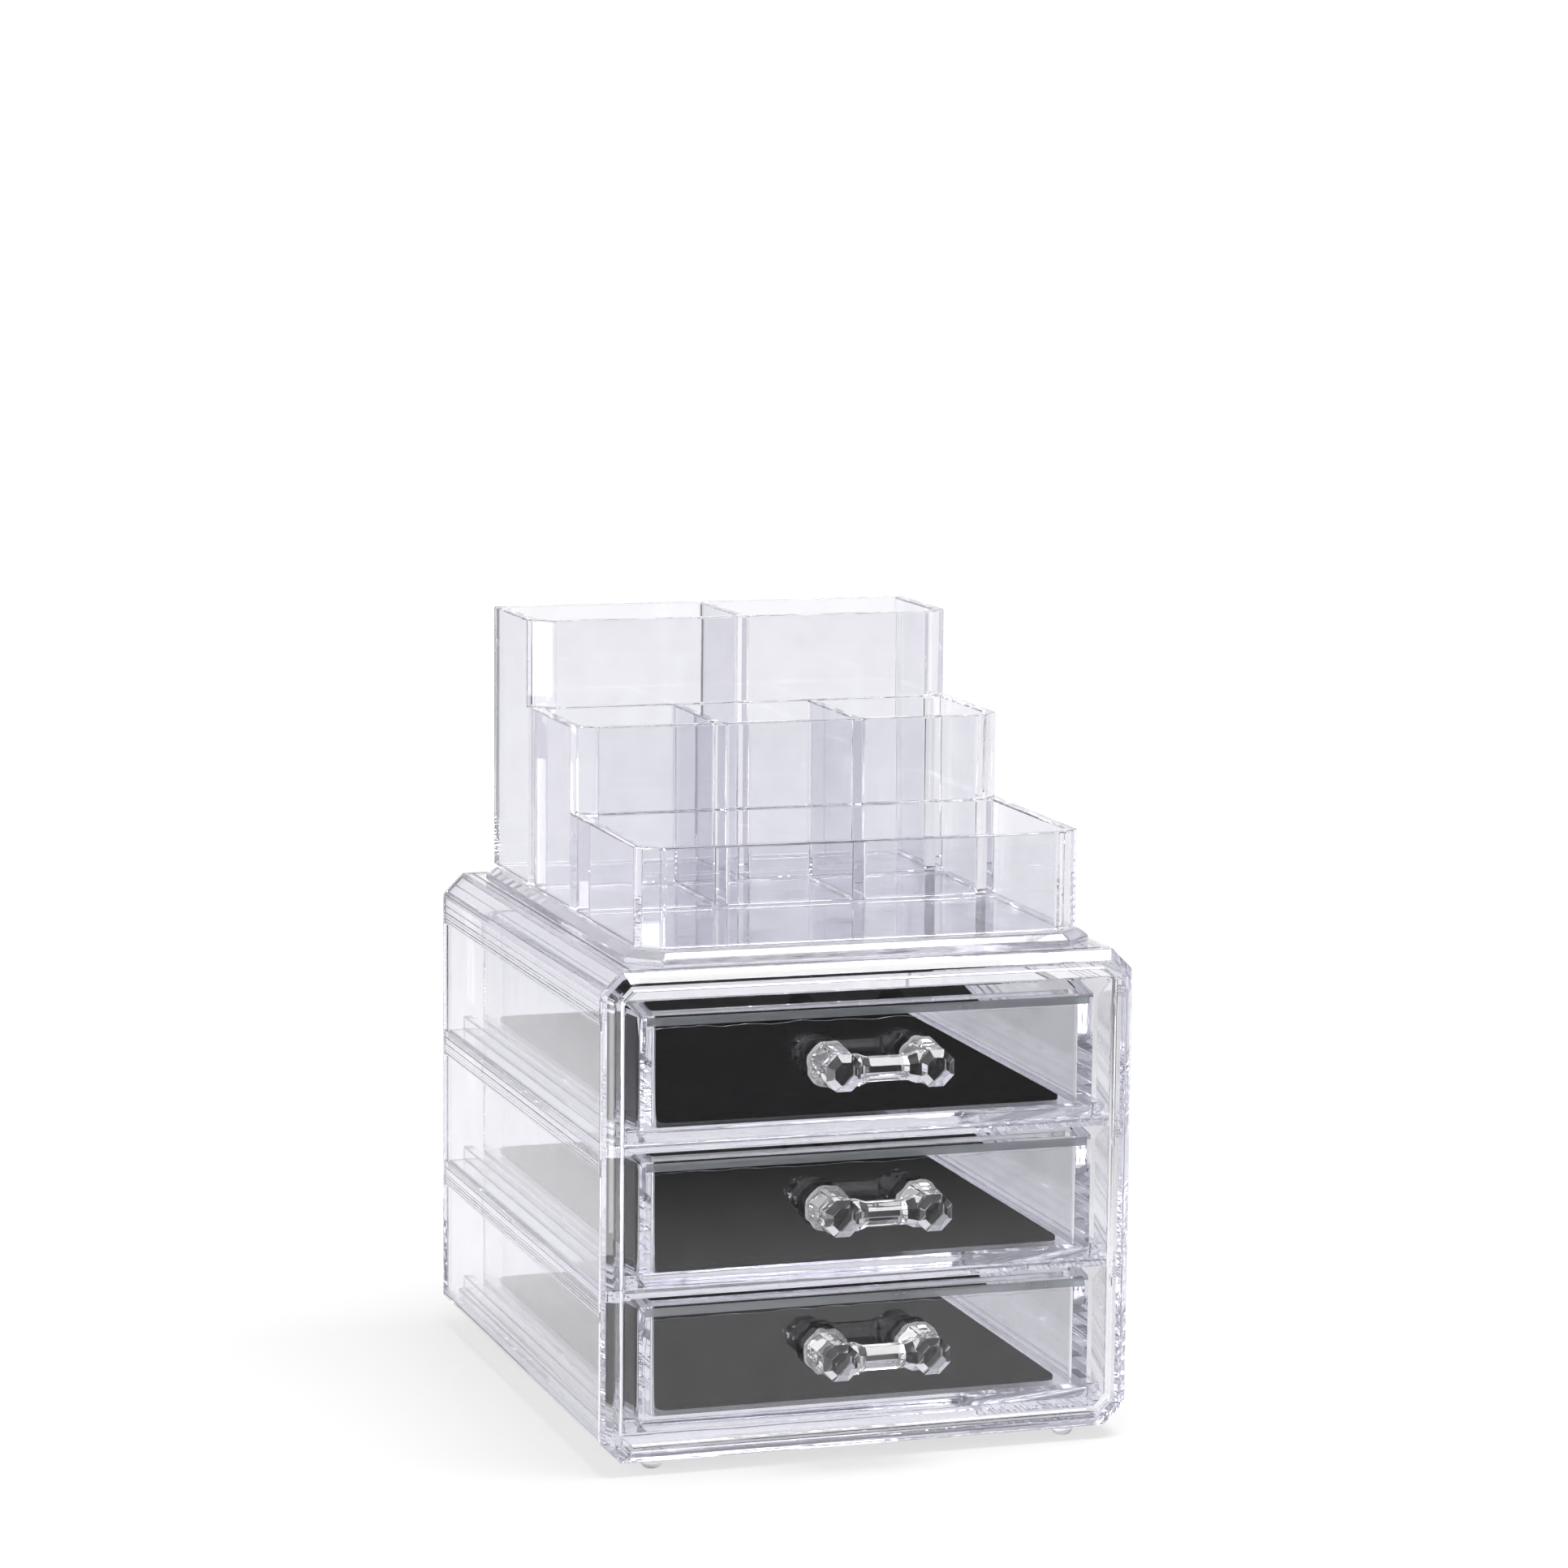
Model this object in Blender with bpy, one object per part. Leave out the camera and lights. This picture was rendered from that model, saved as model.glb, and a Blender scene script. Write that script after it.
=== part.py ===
"""Clear cosmetics organizer: a chest with three drawers and a stepped tray that stands on it.

Metres, +Z up, drawer fronts towards -Y. The origin is on the ground under the middle of the
whole object, handles included. X = 0 is the plane of symmetry.
"""

import math

import bmesh
import bpy

# Joints between pieces that are glued or that stand on each other
SEAT_GAP = 0.0003
CUT_OVERRUN = 0.002

# How much a 45 degree corner cut shrinks when its outline moves in by one unit
CUT_SHRINK_SHARE = 2 - math.sqrt(2)
SMOOTH_ANGLE = math.radians(35)

# Chest, from the front face of its frame to the back of its back panel
CASE_WIDTH = 0.135
CASE_DEPTH = 0.157
CASE_HEIGHT = 0.1196
CORNER_CUT = 0.0054
CASE_WALL = 0.0028
SIDE_LIP = 0.002

# Front frame and back panel
FRAME_THICKNESS = 0.0042
FRAME_BEVEL = 0.0027
FRAME_STILE = 0.0051
FRAME_RAIL = 0.0046
BACK_THICKNESS = 0.0036
BACK_BEVEL = 0.0024

# Raised bands that stiffen the side walls level with each shelf
BAND_PROUD = 0.0007
BAND_DROP = 0.0035
BASE_BAND_HEIGHT = 0.0028

# Shelves with guide strips beside the drawer boxes
SHELF_THICKNESS = 0.003
GUIDE_HEIGHT = 0.0035
GUIDE_THICKNESS = 0.0028
GUIDE_WALL_GAP = 0.0041
GUIDE_CLEARANCE = 0.0005

# Feet
FOOT_HEIGHT = 0.0025
FOOT_RADIUS = 0.0028
FOOT_SIDE_INSET = 0.0145
FOOT_END_INSET = 0.0078
FOOT_SEGMENTS = 24
FOOT_RADIUS_SHARES = (0.62, 0.84, 0.96, 1.0)
FOOT_HEIGHT_SHARES = (0.0, 0.28, 0.66, 1.0)

# Drawers
DRAWER_COUNT = 3
DRAWER_BASE = 0.0076
DRAWER_TOP_SLOT = 0.0024
DRAWER_SPACING = 0.0009
DRAWER_CLEARANCE = 0.0004
PANEL_THICKNESS = 0.0034
PANEL_RECESS = 0.0005
PANEL_SIDE_CLEARANCE = 0.0005
PANEL_SIDE_BORDER = 0.0044
PANEL_TOP_BORDER = 0.0044
PANEL_BOTTOM_BORDER = 0.003
PANEL_BEVEL_DEPTH = 0.0014
BOX_RIM_DROP = 0.0044
BOX_WALL = 0.003
BOX_BACK_CLEARANCE = 0.003
BOX_CORNER_RADIUS = 0.006
BOX_FRONT_RADIUS = 0.0012
BOX_EDGE_RADIUS = 0.0034
BOX_INNER_CORNER_RADIUS = 0.0045
BOX_INNER_EDGE_RADIUS = 0.0019
ROUND_SEGMENTS = 4

# Felt liner of a drawer
LINER_THICKNESS = 0.001
LINER_MARGIN = 0.0032
LINER_CORNER_RADIUS = 0.0025

# Faceted handle: two octagonal posts joined by an octagonal bar with a waist
HANDLE_REACH = 0.0138
POST_SPACING = 0.0232
POST_WIDTH = 0.009
POST_FOOT_WIDTH = 0.0096
TABLE_WIDTH = 0.0056
TABLE_BEVEL = 0.0016
BAR_WIDTH = 0.0058
BAR_END_WIDTH = 0.0074
BAR_SETBACK = 0.0019
BAR_FLARE_LENGTH = 0.0022

# Tray: one wall moulding with three tiers, glued on a base plate
TRAY_SIDE_SETBACK = 0.011
TRAY_SETBACK = 0.008
FRONT_TIER_DEPTH = 0.057
MIDDLE_TIER_DEPTH = 0.0398
REAR_TIER_DEPTH = 0.0385
FRONT_TIER_HEIGHT = 0.0243
MIDDLE_TIER_HEIGHT = 0.0459
REAR_TIER_HEIGHT = 0.0681
TRAY_CORNER_CUT = 0.0055
TRAY_WALL = 0.003
TRAY_DIVIDER = 0.0024
TRAY_LEDGE = 0.0008
REAR_COMPARTMENT_COUNT = 2
MIDDLE_COMPARTMENT_COUNT = 3
COMPARTMENT_CORNER_CUT = 0.0006

# Base plate of the tray
BASE_THICKNESS = 0.0033
BASE_EDGE_HEIGHT = 0.0016
BASE_BEVEL_RUN = 0.0024
BASE_SIDE_MARGIN = 0.003
BASE_FRONT_MARGIN = 0.0035
BASE_BACK_MARGIN = 0.0047
BASE_CORNER_CUT = 0.0078

# Places worked out from the sizes above
HALF_WIDTH = CASE_WIDTH / 2
HANDLE_PROUD = HANDLE_REACH - PANEL_RECESS
FRONT_Y = HANDLE_PROUD - (CASE_DEPTH + HANDLE_PROUD) / 2
BACK_Y = FRONT_Y + CASE_DEPTH
CASE_Z = FOOT_HEIGHT + SEAT_GAP
TOP_Z = CASE_Z + CASE_HEIGHT
WALL_FRONT_Y = FRONT_Y + FRAME_THICKNESS + SEAT_GAP
WALL_BACK_Y = BACK_Y - BACK_THICKNESS - SEAT_GAP
SEAM_X = HALF_WIDTH - CORNER_CUT - SIDE_LIP
DRAWER_STACK = CASE_HEIGHT - FRAME_RAIL - DRAWER_TOP_SLOT - DRAWER_BASE
DRAWER_PITCH = (DRAWER_STACK + DRAWER_SPACING) / DRAWER_COUNT
PANEL_HEIGHT = DRAWER_PITCH - DRAWER_SPACING
BOX_HEIGHT = PANEL_HEIGHT - BOX_RIM_DROP
PANEL_FRONT_Y = FRONT_Y + PANEL_RECESS
PANEL_BACK_Y = PANEL_FRONT_Y + PANEL_THICKNESS
BOX_FRONT_Y = PANEL_BACK_Y + SEAT_GAP
BOX_BACK_Y = WALL_BACK_Y - BOX_BACK_CLEARANCE
BOX_HALF_WIDTH = HALF_WIDTH - CASE_WALL - GUIDE_WALL_GAP - GUIDE_THICKNESS - GUIDE_CLEARANCE


def panel_bottom(level):
    """Height of the lower edge of a drawer's front panel; level 0 is the lowest drawer."""
    return CASE_Z + DRAWER_BASE + level * DRAWER_PITCH


def shelf_top(level):
    return panel_bottom(level) - DRAWER_CLEARANCE


# Colours of the plastics and the felt
def material(name, colour, roughness, alpha=1.0, transmission=0.0, ior=1.5):
    made = bpy.data.materials.new(name)
    made.use_nodes = True
    shader = made.node_tree.nodes["Principled BSDF"]
    shader.inputs["Base Color"].default_value = (*colour, 1.0)
    shader.inputs["Roughness"].default_value = roughness
    shader.inputs["Metallic"].default_value = 0.0
    shader.inputs["Alpha"].default_value = alpha
    shader.inputs["Transmission Weight"].default_value = transmission
    shader.inputs["IOR"].default_value = ior
    return made


def clear_polystyrene():
    return material("clear_polystyrene", (0.90, 0.89, 0.95), 0.03, transmission=1.0, ior=1.59)


def clear_acrylic():
    return material("clear_acrylic", (0.94, 0.94, 0.97), 0.02, transmission=1.0, ior=1.49)


def black_felt():
    return material("black_felt", (0.012, 0.012, 0.014), 0.95)


def clear_bumper():
    return material("clear_bumper", (0.88, 0.88, 0.90), 0.25, transmission=0.9, ior=1.45)


# Building blocks
def add_object(name, mesh_data, surface):
    thing = bpy.data.objects.new(name, mesh_data)
    bpy.context.scene.collection.objects.link(thing)
    if surface is not None:
        thing.data.materials.append(surface)
    return thing


def loft(name, rings, surface=None):
    """A closed body through rings that all have the same number of points, capped at both ends."""
    shape = bmesh.new()
    rows = [[shape.verts.new(point) for point in ring] for ring in rings]
    count = len(rows[0])
    for lower, upper in zip(rows, rows[1:]):
        for i in range(count):
            j = (i + 1) % count
            shape.faces.new((lower[i], lower[j], upper[j], upper[i]))
    shape.faces.new(rows[0])
    shape.faces.new(rows[-1])
    bmesh.ops.recalc_face_normals(shape, faces=shape.faces)
    data = bpy.data.meshes.new(name)
    shape.to_mesh(data)
    shape.free()
    return add_object(name, data, surface)


def along_y(outline, y):
    return [(x, y, z) for x, z in outline]


def along_z(outline, z):
    return [(x, y, z) for x, y in outline]


def combine(target, tool, operation):
    """Joins or cuts the target with a tool shape, which the target then carries."""
    tool.hide_render = True
    tool.display_type = "WIRE"
    tool.parent = target
    modifier = target.modifiers.new(tool.name, "BOOLEAN")
    modifier.operation = operation
    modifier.solver = "EXACT"
    modifier.object = tool


def carry(name, place, pieces):
    """An empty on the line of a sliding joint, with the pieces that it moves."""
    slide = bpy.data.objects.new(name, None)
    bpy.context.scene.collection.objects.link(slide)
    slide.location = place
    for piece in pieces:
        piece.parent = slide


def smooth(thing, angle):
    thing.data.shade_smooth()
    thing.data.set_sharp_from_angle(angle=angle)


def cut_rectangle(x0, x1, v0, v1, cut_low, cut_high):
    """A rectangle with its four corners cut at 45 degrees, by cut_low at v0 and cut_high at v1."""
    return [
        (x0 + cut_low, v0),
        (x1 - cut_low, v0),
        (x1, v0 + cut_low),
        (x1, v1 - cut_high),
        (x1 - cut_high, v1),
        (x0 + cut_high, v1),
        (x0, v1 - cut_high),
        (x0, v0 + cut_low),
    ]


def round_rectangle(x0, x1, y0, y1, front_radius, back_radius):
    """A rectangle with round corners, of one radius at y0 and another at y1."""
    corners = (
        (x1 - front_radius, y0 + front_radius, front_radius, -90),
        (x1 - back_radius, y1 - back_radius, back_radius, 0),
        (x0 + back_radius, y1 - back_radius, back_radius, 90),
        (x0 + front_radius, y0 + front_radius, front_radius, 180),
    )
    outline = []
    for centre_x, centre_y, radius, start in corners:
        for step in range(ROUND_SEGMENTS + 1):
            angle = math.radians(start + 90 * step / ROUND_SEGMENTS)
            outline.append((centre_x + radius * math.cos(angle), centre_y + radius * math.sin(angle)))
    return outline


def octagon(width):
    """A regular octagon, width across its flats, flats level and upright."""
    reach = width / 2
    half_side = reach * math.tan(math.pi / 8)
    return cut_rectangle(-reach, reach, -reach, reach, reach - half_side, reach - half_side)


# Chest: front frame, back panel, side walls, top, bottom and shelves
def case_outline(inset):
    """The chest's outline, all sides moved in by inset."""
    cut = CORNER_CUT - inset * CUT_SHRINK_SHARE
    return cut_rectangle(
        -HALF_WIDTH + inset, HALF_WIDTH - inset, CASE_Z + inset, TOP_Z - inset, cut, cut
    )


def opening_outline():
    """The frame's opening, with corners cut parallel to the chest's corners."""
    cut = CORNER_CUT - FRAME_RAIL * CUT_SHRINK_SHARE
    half = HALF_WIDTH - FRAME_STILE
    return cut_rectangle(-half, half, CASE_Z + FRAME_RAIL, TOP_Z - FRAME_RAIL, cut, cut)


def make_front_frame(surface):
    rings = [
        along_y(case_outline(FRAME_BEVEL), FRONT_Y),
        along_y(case_outline(0), FRONT_Y + FRAME_BEVEL),
        along_y(case_outline(0), FRONT_Y + FRAME_THICKNESS),
    ]
    frame = loft("front_frame", rings, surface)
    tool_rings = [
        along_y(opening_outline(), FRONT_Y - CUT_OVERRUN),
        along_y(opening_outline(), FRONT_Y + FRAME_THICKNESS + CUT_OVERRUN),
    ]
    combine(frame, loft("frame_opening_tool", tool_rings), "DIFFERENCE")


def make_back_panel(surface):
    rings = [
        along_y(case_outline(0), BACK_Y - BACK_THICKNESS),
        along_y(case_outline(0), BACK_Y - BACK_BEVEL),
        along_y(case_outline(BACK_BEVEL), BACK_Y),
    ]
    loft("back_panel", rings, surface)


def band_edges():
    """Heights where the outer face of a side wall steps out to a band or back to a window."""
    edges = [shelf_top(0) + BASE_BAND_HEIGHT - SHELF_THICKNESS]
    for level in range(1, DRAWER_COUNT):
        edges.append(shelf_top(level) - SHELF_THICKNESS - BAND_DROP)
        edges.append(shelf_top(level))
    edges.append(shelf_top(DRAWER_COUNT) - SHELF_THICKNESS - BAND_DROP)
    return edges


def side_profile(side):
    """Section of a side wall: upright wall with bands, 45 degree corners and two short lips."""
    outer = HALF_WIDTH
    window = HALF_WIDTH - BAND_PROUD
    inner = HALF_WIDTH - CASE_WALL
    inner_cut = CORNER_CUT - CASE_WALL * CUT_SHRINK_SHARE
    low_inner = CASE_Z + CASE_WALL
    high_inner = TOP_Z - CASE_WALL
    profile = [(SEAM_X, CASE_Z), (outer - CORNER_CUT, CASE_Z), (outer, CASE_Z + CORNER_CUT)]
    for number, height in enumerate(band_edges()):
        steps_in = number % 2 == 0
        profile.append((outer if steps_in else window, height))
        profile.append((window if steps_in else outer, height))
    profile += [(outer, TOP_Z - CORNER_CUT), (outer - CORNER_CUT, TOP_Z), (SEAM_X, TOP_Z)]
    profile += [(SEAM_X, high_inner), (inner - inner_cut, high_inner), (inner, high_inner - inner_cut)]
    profile += [(inner, low_inner + inner_cut), (inner - inner_cut, low_inner), (SEAM_X, low_inner)]
    return [(side * x, z) for x, z in profile]


def make_side_wall(name, side, surface):
    profile = side_profile(side)
    loft(name, [along_y(profile, WALL_FRONT_Y), along_y(profile, WALL_BACK_Y)], surface)


def make_flat_plate(name, z0, z1, surface):
    half = SEAM_X - SEAT_GAP
    outline = [(-half, z0), (half, z0), (half, z1), (-half, z1)]
    loft(name, [along_y(outline, WALL_FRONT_Y), along_y(outline, WALL_BACK_Y)], surface)


def shelf_half_width(level):
    """Half the width of a shelf; one that lies low enough ends at the 45 degree corner strips."""
    inner_cut = CORNER_CUT - CASE_WALL * CUT_SHRINK_SHARE
    strip_top = CASE_Z + CASE_WALL + inner_cut + SEAT_GAP * (math.sqrt(2) - 1)
    underside = shelf_top(level) - SHELF_THICKNESS
    return HALF_WIDTH - CASE_WALL - SEAT_GAP - max(0, strip_top - underside)


def make_shelf(name, level, surface):
    half = shelf_half_width(level)
    top = shelf_top(level)
    guide_out = HALF_WIDTH - CASE_WALL - GUIDE_WALL_GAP
    guide_in = guide_out - GUIDE_THICKNESS
    right = [
        (half, top - SHELF_THICKNESS),
        (half, top),
        (guide_out, top),
        (guide_out, top + GUIDE_HEIGHT),
        (guide_in, top + GUIDE_HEIGHT),
        (guide_in, top),
    ]
    left = [(-x, z) for x, z in reversed(right)]
    profile = right + left
    loft(name, [along_y(profile, WALL_FRONT_Y), along_y(profile, WALL_BACK_Y)], surface)


def make_foot(name, x, y, surface):
    rings = []
    for radius_share, height_share in zip(FOOT_RADIUS_SHARES, FOOT_HEIGHT_SHARES):
        radius = FOOT_RADIUS * radius_share
        turns = [2 * math.pi * i / FOOT_SEGMENTS for i in range(FOOT_SEGMENTS)]
        circle = [(radius * math.cos(turn), radius * math.sin(turn)) for turn in turns]
        rings.append(along_z(circle, FOOT_HEIGHT * height_share))
    foot = loft(name, rings, surface)
    foot.location = (x, y, 0)
    smooth(foot, SMOOTH_ANGLE)


def make_chest(plastic, bumper):
    make_front_frame(plastic)
    make_back_panel(plastic)
    make_side_wall("left_side", -1, plastic)
    make_side_wall("right_side", 1, plastic)
    make_flat_plate("top_panel", TOP_Z - CASE_WALL, TOP_Z, plastic)
    make_flat_plate("bottom_panel", CASE_Z, CASE_Z + CASE_WALL, plastic)
    for level, name in enumerate(("shelf_lower", "shelf_middle", "shelf_upper")):
        make_shelf(name, level, plastic)
    foot_x = HALF_WIDTH - FOOT_SIDE_INSET
    foot_y = {"front": FRONT_Y + FOOT_END_INSET, "rear": BACK_Y - FOOT_END_INSET}
    for end, y in foot_y.items():
        make_foot(f"foot_{end}_left", -foot_x, y, bumper)
        make_foot(f"foot_{end}_right", foot_x, y, bumper)


# Drawers: front panel, box, felt liner and handle, all carried by one empty on the slide's axis
def make_drawer_panel(name, plastic):
    half = HALF_WIDTH - FRAME_STILE - PANEL_SIDE_CLEARANCE
    inner = half - PANEL_SIDE_BORDER
    low = PANEL_BOTTOM_BORDER
    high = PANEL_HEIGHT - PANEL_TOP_BORDER
    full = [(-half, 0), (half, 0), (half, PANEL_HEIGHT), (-half, PANEL_HEIGHT)]
    face = [(-inner, low), (inner, low), (inner, high), (-inner, high)]
    rings = [
        along_y(face, 0),
        along_y(full, PANEL_BEVEL_DEPTH),
        along_y(full, PANEL_THICKNESS),
    ]
    return loft(name, rings, plastic)


def box_rings(x, y0, y1, z0, z1, front_radius, corner_radius, edge_radius):
    """Rings of a tub with round corners and a round lower edge."""
    rings = []
    for step in range(ROUND_SEGMENTS + 1):
        angle = math.radians(90 * step / ROUND_SEGMENTS)
        inset = edge_radius * (1 - math.sin(angle))
        height = z0 + edge_radius * (1 - math.cos(angle))
        radii = (front_radius - inset, corner_radius - inset)
        outline = round_rectangle(-x + inset, x - inset, y0 + inset, y1 - inset, *radii)
        rings.append(along_z(outline, height))
    last = round_rectangle(-x, x, y0, y1, front_radius, corner_radius)
    rings.append(along_z(last, z1))
    return rings


def make_drawer_box(name, plastic):
    half = BOX_HALF_WIDTH
    front = BOX_FRONT_Y - PANEL_FRONT_Y
    back = BOX_BACK_Y - PANEL_FRONT_Y
    outer = box_rings(
        half,
        front,
        back,
        0,
        BOX_HEIGHT,
        BOX_EDGE_RADIUS + BOX_FRONT_RADIUS,
        BOX_CORNER_RADIUS,
        BOX_EDGE_RADIUS,
    )
    box = loft(name, outer, plastic)
    inner = box_rings(
        half - BOX_WALL,
        front + BOX_WALL,
        back - BOX_WALL,
        BOX_WALL,
        BOX_HEIGHT + CUT_OVERRUN,
        BOX_INNER_EDGE_RADIUS + BOX_FRONT_RADIUS,
        BOX_INNER_CORNER_RADIUS,
        BOX_INNER_EDGE_RADIUS,
    )
    combine(box, loft(name + "_tool", inner), "DIFFERENCE")
    smooth(box, SMOOTH_ANGLE)
    return box


def make_liner(name, felt):
    half = BOX_HALF_WIDTH - BOX_WALL - LINER_MARGIN
    front = BOX_FRONT_Y - PANEL_FRONT_Y + BOX_WALL + LINER_MARGIN
    back = BOX_BACK_Y - PANEL_FRONT_Y - BOX_WALL - LINER_MARGIN
    outline = round_rectangle(-half, half, front, back, LINER_CORNER_RADIUS, LINER_CORNER_RADIUS)
    low = BOX_WALL + SEAT_GAP
    return loft(name, [along_z(outline, low), along_z(outline, low + LINER_THICKNESS)], felt)


def make_post(name, x, surface):
    """An octagonal post that narrows from its foot, with a bevelled table at its front end."""
    stations = (
        (-SEAT_GAP, POST_FOOT_WIDTH),
        (-HANDLE_REACH + BAR_SETBACK + BAR_END_WIDTH / 2, POST_WIDTH),
        (-HANDLE_REACH + TABLE_BEVEL, POST_WIDTH),
        (-HANDLE_REACH, TABLE_WIDTH),
    )
    rings = [[(x + u, y, v) for u, v in octagon(width)] for y, width in stations]
    return loft(name, rings, surface)


def make_handle(name, acrylic):
    handle = make_post(name, -POST_SPACING / 2, acrylic)
    axis_y = -HANDLE_REACH + BAR_SETBACK + BAR_WIDTH / 2
    reach = POST_SPACING / 2
    flare_x = reach - POST_WIDTH / 2
    stations = (
        (-reach, BAR_END_WIDTH),
        (-flare_x, BAR_END_WIDTH),
        (-flare_x + BAR_FLARE_LENGTH, BAR_WIDTH),
        (flare_x - BAR_FLARE_LENGTH, BAR_WIDTH),
        (flare_x, BAR_END_WIDTH),
        (reach, BAR_END_WIDTH),
    )
    rings = []
    for x, width in stations:
        rings.append([(x, axis_y + u, v) for u, v in octagon(width)])
    combine(handle, make_post(name + "_post_tool", POST_SPACING / 2, None), "UNION")
    combine(handle, loft(name + "_bar_tool", rings), "UNION")
    handle.location = (0, 0, PANEL_HEIGHT / 2)
    return handle


def make_drawer(name, level, plastic, acrylic, felt):
    pieces = [
        make_drawer_panel(name + "_front", plastic),
        make_drawer_box(name + "_box", plastic),
        make_handle(name + "_handle", acrylic),
        make_liner(name + "_liner", felt),
    ]
    carry(name + "_slide", (0, PANEL_FRONT_Y, panel_bottom(level)), pieces)


# Tray: stepped walls on a bevelled base plate
TRAY_HALF_WIDTH = HALF_WIDTH - TRAY_SIDE_SETBACK
TRAY_FRONT_Y = FRONT_Y + TRAY_SETBACK
MIDDLE_FRONT_Y = TRAY_FRONT_Y + FRONT_TIER_DEPTH
REAR_FRONT_Y = MIDDLE_FRONT_Y + MIDDLE_TIER_DEPTH
TRAY_BACK_Y = REAR_FRONT_Y + REAR_TIER_DEPTH
TRAY_REST_Z = TOP_Z + SEAT_GAP
TRAY_FLOOR_Z = BASE_THICKNESS + SEAT_GAP


def front_cut_outline(x0, x1, y0, y1, cut_left, cut_right):
    """A rectangle whose two front corners are cut at 45 degrees."""
    return [
        (x0 + cut_left, y0),
        (x1 - cut_right, y0),
        (x1, y0 + cut_right),
        (x1, y1),
        (x0, y1),
        (x0, y0 + cut_left),
    ]


def tray_block(name, front_y, height, surface=None):
    half = TRAY_HALF_WIDTH
    outline = front_cut_outline(-half, half, front_y, TRAY_BACK_Y, TRAY_CORNER_CUT, TRAY_CORNER_CUT)
    rings = [along_z(outline, TRAY_FLOOR_Z), along_z(outline, TRAY_FLOOR_Z + height)]
    return loft(name, rings, surface)


def cut_compartments(tray, label, count, y0, y1):
    """Opens a row of compartments side by side, right through to the base plate."""
    half = TRAY_HALF_WIDTH - TRAY_WALL
    width = (2 * half - (count - 1) * TRAY_DIVIDER) / count
    cut = TRAY_CORNER_CUT - TRAY_WALL * CUT_SHRINK_SHARE
    for number in range(count):
        x0 = -half + number * (width + TRAY_DIVIDER)
        cut_left = cut if number == 0 else COMPARTMENT_CORNER_CUT
        cut_right = cut if number == count - 1 else COMPARTMENT_CORNER_CUT
        outline = front_cut_outline(x0, x0 + width, y0, y1, cut_left, cut_right)
        low = TRAY_FLOOR_Z - CUT_OVERRUN
        high = TRAY_FLOOR_Z + REAR_TIER_HEIGHT + CUT_OVERRUN
        tool = loft(f"{label}_tool_{number}", [along_z(outline, low), along_z(outline, high)])
        combine(tray, tool, "DIFFERENCE")


def make_tray_walls(plastic):
    tray = tray_block("tray_walls", TRAY_FRONT_Y, FRONT_TIER_HEIGHT, plastic)
    combine(tray, tray_block("middle_tier_tool", MIDDLE_FRONT_Y, MIDDLE_TIER_HEIGHT), "UNION")
    combine(tray, tray_block("rear_tier_tool", REAR_FRONT_Y, REAR_TIER_HEIGHT), "UNION")
    front_back = MIDDLE_FRONT_Y - TRAY_LEDGE
    middle_back = REAR_FRONT_Y - TRAY_LEDGE
    cut_compartments(tray, "front", 1, TRAY_FRONT_Y + TRAY_WALL, front_back)
    cut_compartments(tray, "middle", MIDDLE_COMPARTMENT_COUNT, MIDDLE_FRONT_Y + TRAY_WALL, middle_back)
    rear_back = TRAY_BACK_Y - TRAY_WALL
    cut_compartments(tray, "rear", REAR_COMPARTMENT_COUNT, REAR_FRONT_Y + TRAY_WALL, rear_back)
    return tray


def make_tray_base(plastic):
    def outline(inset):
        half = TRAY_HALF_WIDTH + BASE_SIDE_MARGIN - inset
        front = TRAY_FRONT_Y - BASE_FRONT_MARGIN + inset
        back = TRAY_BACK_Y + BASE_BACK_MARGIN - inset
        cut = BASE_CORNER_CUT - inset * CUT_SHRINK_SHARE
        return cut_rectangle(-half, half, front, back, cut, cut)

    rings = [
        along_z(outline(0), 0),
        along_z(outline(0), BASE_EDGE_HEIGHT),
        along_z(outline(BASE_BEVEL_RUN), BASE_THICKNESS),
    ]
    return loft("tray_base", rings, plastic)


def make_tray(plastic):
    carry("tray_lift", (0, 0, TRAY_REST_Z), [make_tray_walls(plastic), make_tray_base(plastic)])


for old in list(bpy.data.objects):
    bpy.data.objects.remove(old, do_unlink=True)

polystyrene = clear_polystyrene()
acrylic_material = clear_acrylic()
felt_material = black_felt()
make_chest(polystyrene, clear_bumper())
for drawer_level, drawer_name in enumerate(("drawer_lower", "drawer_middle", "drawer_upper")):
    make_drawer(drawer_name, drawer_level, polystyrene, acrylic_material, felt_material)
make_tray(polystyrene)
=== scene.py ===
import math

import bmesh
import bpy
from mathutils import Matrix, Vector, noise


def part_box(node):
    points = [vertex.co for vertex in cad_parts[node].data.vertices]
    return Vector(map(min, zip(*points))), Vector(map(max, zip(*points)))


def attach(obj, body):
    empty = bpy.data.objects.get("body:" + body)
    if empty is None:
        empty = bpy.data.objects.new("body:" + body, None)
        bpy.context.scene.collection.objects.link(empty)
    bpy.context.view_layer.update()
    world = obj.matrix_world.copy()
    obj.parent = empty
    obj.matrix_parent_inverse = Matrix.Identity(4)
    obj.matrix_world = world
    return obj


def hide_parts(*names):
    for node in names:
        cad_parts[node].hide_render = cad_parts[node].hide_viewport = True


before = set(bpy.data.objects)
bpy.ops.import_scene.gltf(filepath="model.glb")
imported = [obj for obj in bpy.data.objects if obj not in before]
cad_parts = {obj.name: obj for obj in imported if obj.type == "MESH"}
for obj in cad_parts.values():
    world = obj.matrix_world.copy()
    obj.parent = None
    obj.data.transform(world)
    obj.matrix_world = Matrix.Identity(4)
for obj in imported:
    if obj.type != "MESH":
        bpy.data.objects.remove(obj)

scene = bpy.context.scene
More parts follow.
